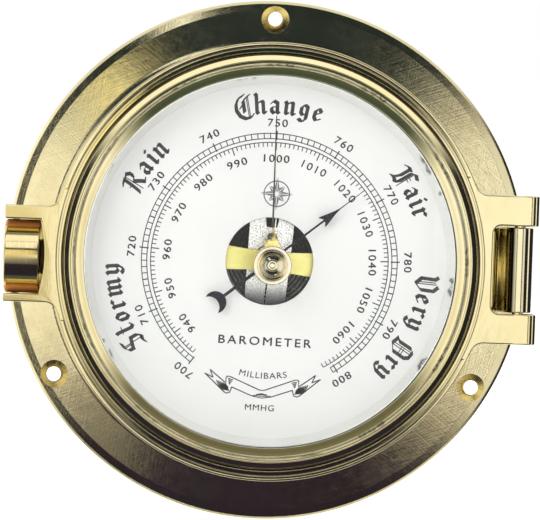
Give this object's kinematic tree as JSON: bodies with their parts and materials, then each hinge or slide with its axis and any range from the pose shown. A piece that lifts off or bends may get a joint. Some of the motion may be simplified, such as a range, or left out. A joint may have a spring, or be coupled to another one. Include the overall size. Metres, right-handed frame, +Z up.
{
  "type": "aneroid barometer",
  "caption": "Round brass aneroid barometer for a bulkhead: flanged drum, white dial with pointer and set hand, glazed bezel that swings on a hinge and locks with a thumbscrew.",
  "frame": {"origin": "centre of the back plane of the flange, where it lies against the wall", "axes": "+Y into the wall, so the dial faces -Y; +X to the right of someone reading the dial; +Z up"},
  "size_m": [0.15, 0.042, 0.15],
  "materials": {
    "polished_brass": "polished, with turning marks",
    "plain_brass": "satin",
    "steel": "satin",
    "nickel_plate": "bright",
    "blued_steel": "blued",
    "capsule_metal": "dark, matt",
    "dial_enamel": "satin white",
    "glass": "clear",
    "seal_rubber": "matt",
    "leather": "matt"
  },
  "bodies": {
    "case": {"case_body": "polished_brass", "back_cover": "plain_brass", "cover_screw_first": "steel", "cover_screw_second": "steel", "cover_screw_third": "steel", "door_gasket": "seal_rubber", "hinge_bracket": "polished_brass", "hinge_screw_upper": "polished_brass", "hinge_screw_lower": "polished_brass", "hinge_pin": "polished_brass", "sight_ring": "nickel_plate", "dial": "dial_enamel", "dial_pillar_first": "plain_brass", "dial_pillar_second": "plain_brass", "dial_pillar_third": "plain_brass", "movement_plate": "plain_brass", "movement_screw_first": "steel", "movement_screw_second": "steel", "movement_screw_third": "steel", "capsule_stud": "plain_brass", "capsule_rivet": "plain_brass", "capsule_back": "capsule_metal", "spring_foot": "plain_brass", "spring_screw_left": "steel", "spring_screw_right": "steel", "rocker_post_left": "plain_brass", "rocker_post_right": "plain_brass", "rear_bridge": "plain_brass", "bridge": "plain_brass", "bridge_pillar_left": "plain_brass", "bridge_pillar_right": "plain_brass", "bridge_spacer_left": "plain_brass", "bridge_spacer_right": "plain_brass", "bridge_screw_left": "steel", "bridge_screw_right": "steel", "hairspring": "blued_steel"},
    "bezel": {"bezel": "polished_brass", "glass": "glass", "glass_seal": "seal_rubber", "glass_retaining_ring": "plain_brass"},
    "catch_washer": {"catch_washer": "leather"},
    "thumbscrew": {"catch_screw": "polished_brass"},
    "set_hand": {"set_knob": "polished_brass", "set_bush": "plain_brass", "set_hand": "plain_brass"},
    "pointer": {"pointer": "blued_steel", "pointer_arbor": "steel", "pointer_collet": "plain_brass"},
    "capsule_face": {"capsule_front": "capsule_metal", "capsule_post": "steel"},
    "spring_leaf": {"main_spring": "steel", "spring_yoke": "plain_brass"},
    "link": {"link": "steel"},
    "rocker": {"rocker_shaft": "steel", "rocker_arm": "plain_brass", "counterweight": "plain_brass"},
    "chain": {"chain": "steel"},
    "adjusting_screw": {"adjusting_screw": "steel"}
  },
  "joints": [
    {"name": "bezel_hinge", "type": "hinge", "parent": "case", "child": "bezel", "pos_m": [0.0691, -0.0339, 0], "axis": [0, 0, 1], "range_deg": [0, 150]},
    {"name": "catch_slide", "type": "slide", "parent": "bezel", "child": "catch_washer", "axis": [-1, 0, 0], "range_m": [0, 0.00245]},
    {"name": "catch_turn", "type": "hinge", "parent": "catch_washer", "child": "thumbscrew", "pos_m": [-0.068, -0.0294, -0.0008], "axis": [-1, 0, 0], "range_deg": [0, 1261]},
    {"name": "set_hand_turn", "type": "hinge", "parent": "bezel", "child": "set_hand", "pos_m": [0.0004, -0.035, -0.001], "axis": [0, 1, 0], "continuous": true},
    {"name": "pointer_turn", "type": "hinge", "parent": "case", "child": "pointer", "pos_m": [0, -0.025, 0], "axis": [0, 1, 0], "range_deg": [-197, 95]},
    {"name": "rocker_tilt", "type": "hinge", "parent": "case", "child": "rocker", "pos_m": [0.00159, -0.0096, 0.02595], "axis": [0.9981, 0, -0.061], "range_deg": [-17.82, 8.54]},
    {"name": "capsule_breathe", "type": "slide", "parent": "case", "child": "capsule_face", "axis": [0, 1, 0], "range_m": [-0.0005954, 0.0002855], "stiffness_N_per_m": 20000},
    {"name": "spring_flex", "type": "hinge", "parent": "case", "child": "spring_leaf", "pos_m": [-0.00159, -0.0168, -0.02595], "axis": [0.9981, 0, -0.061], "range_deg": [-0.64, 1.33]},
    {"name": "link_swing", "type": "hinge", "parent": "spring_leaf", "child": "link", "pos_m": [0.00137, -0.0176, 0.02236], "axis": [0.9981, 0, -0.061], "range_deg": [-1.33, 0.64]},
    {"name": "chain_wind", "type": "slide", "parent": "case", "child": "chain", "axis": [0.061, 0, 0.9981], "range_m": [-0.00149, 0.00311]},
    {"name": "adjusting_turn", "type": "hinge", "parent": "case", "child": "adjusting_screw", "pos_m": [-0.00159, -0.005, -0.02595], "axis": [0, 1, 0], "range_deg": [-360, 360]}
  ],
  "couplings": [
    {"joint": "catch_turn", "follows": "catch_slide", "rad_per_m": 8976},
    {"joint": "pointer_turn", "follows": "capsule_breathe", "rad_per_m": 5745.5},
    {"joint": "rocker_tilt", "follows": "capsule_breathe", "rad_per_m": 517.09},
    {"joint": "spring_flex", "follows": "capsule_breathe", "rad_per_m": -38.462},
    {"joint": "link_swing", "follows": "capsule_breathe", "rad_per_m": 38.462},
    {"joint": "chain_wind", "follows": "capsule_breathe", "ratio": -5.1709}
  ]
}
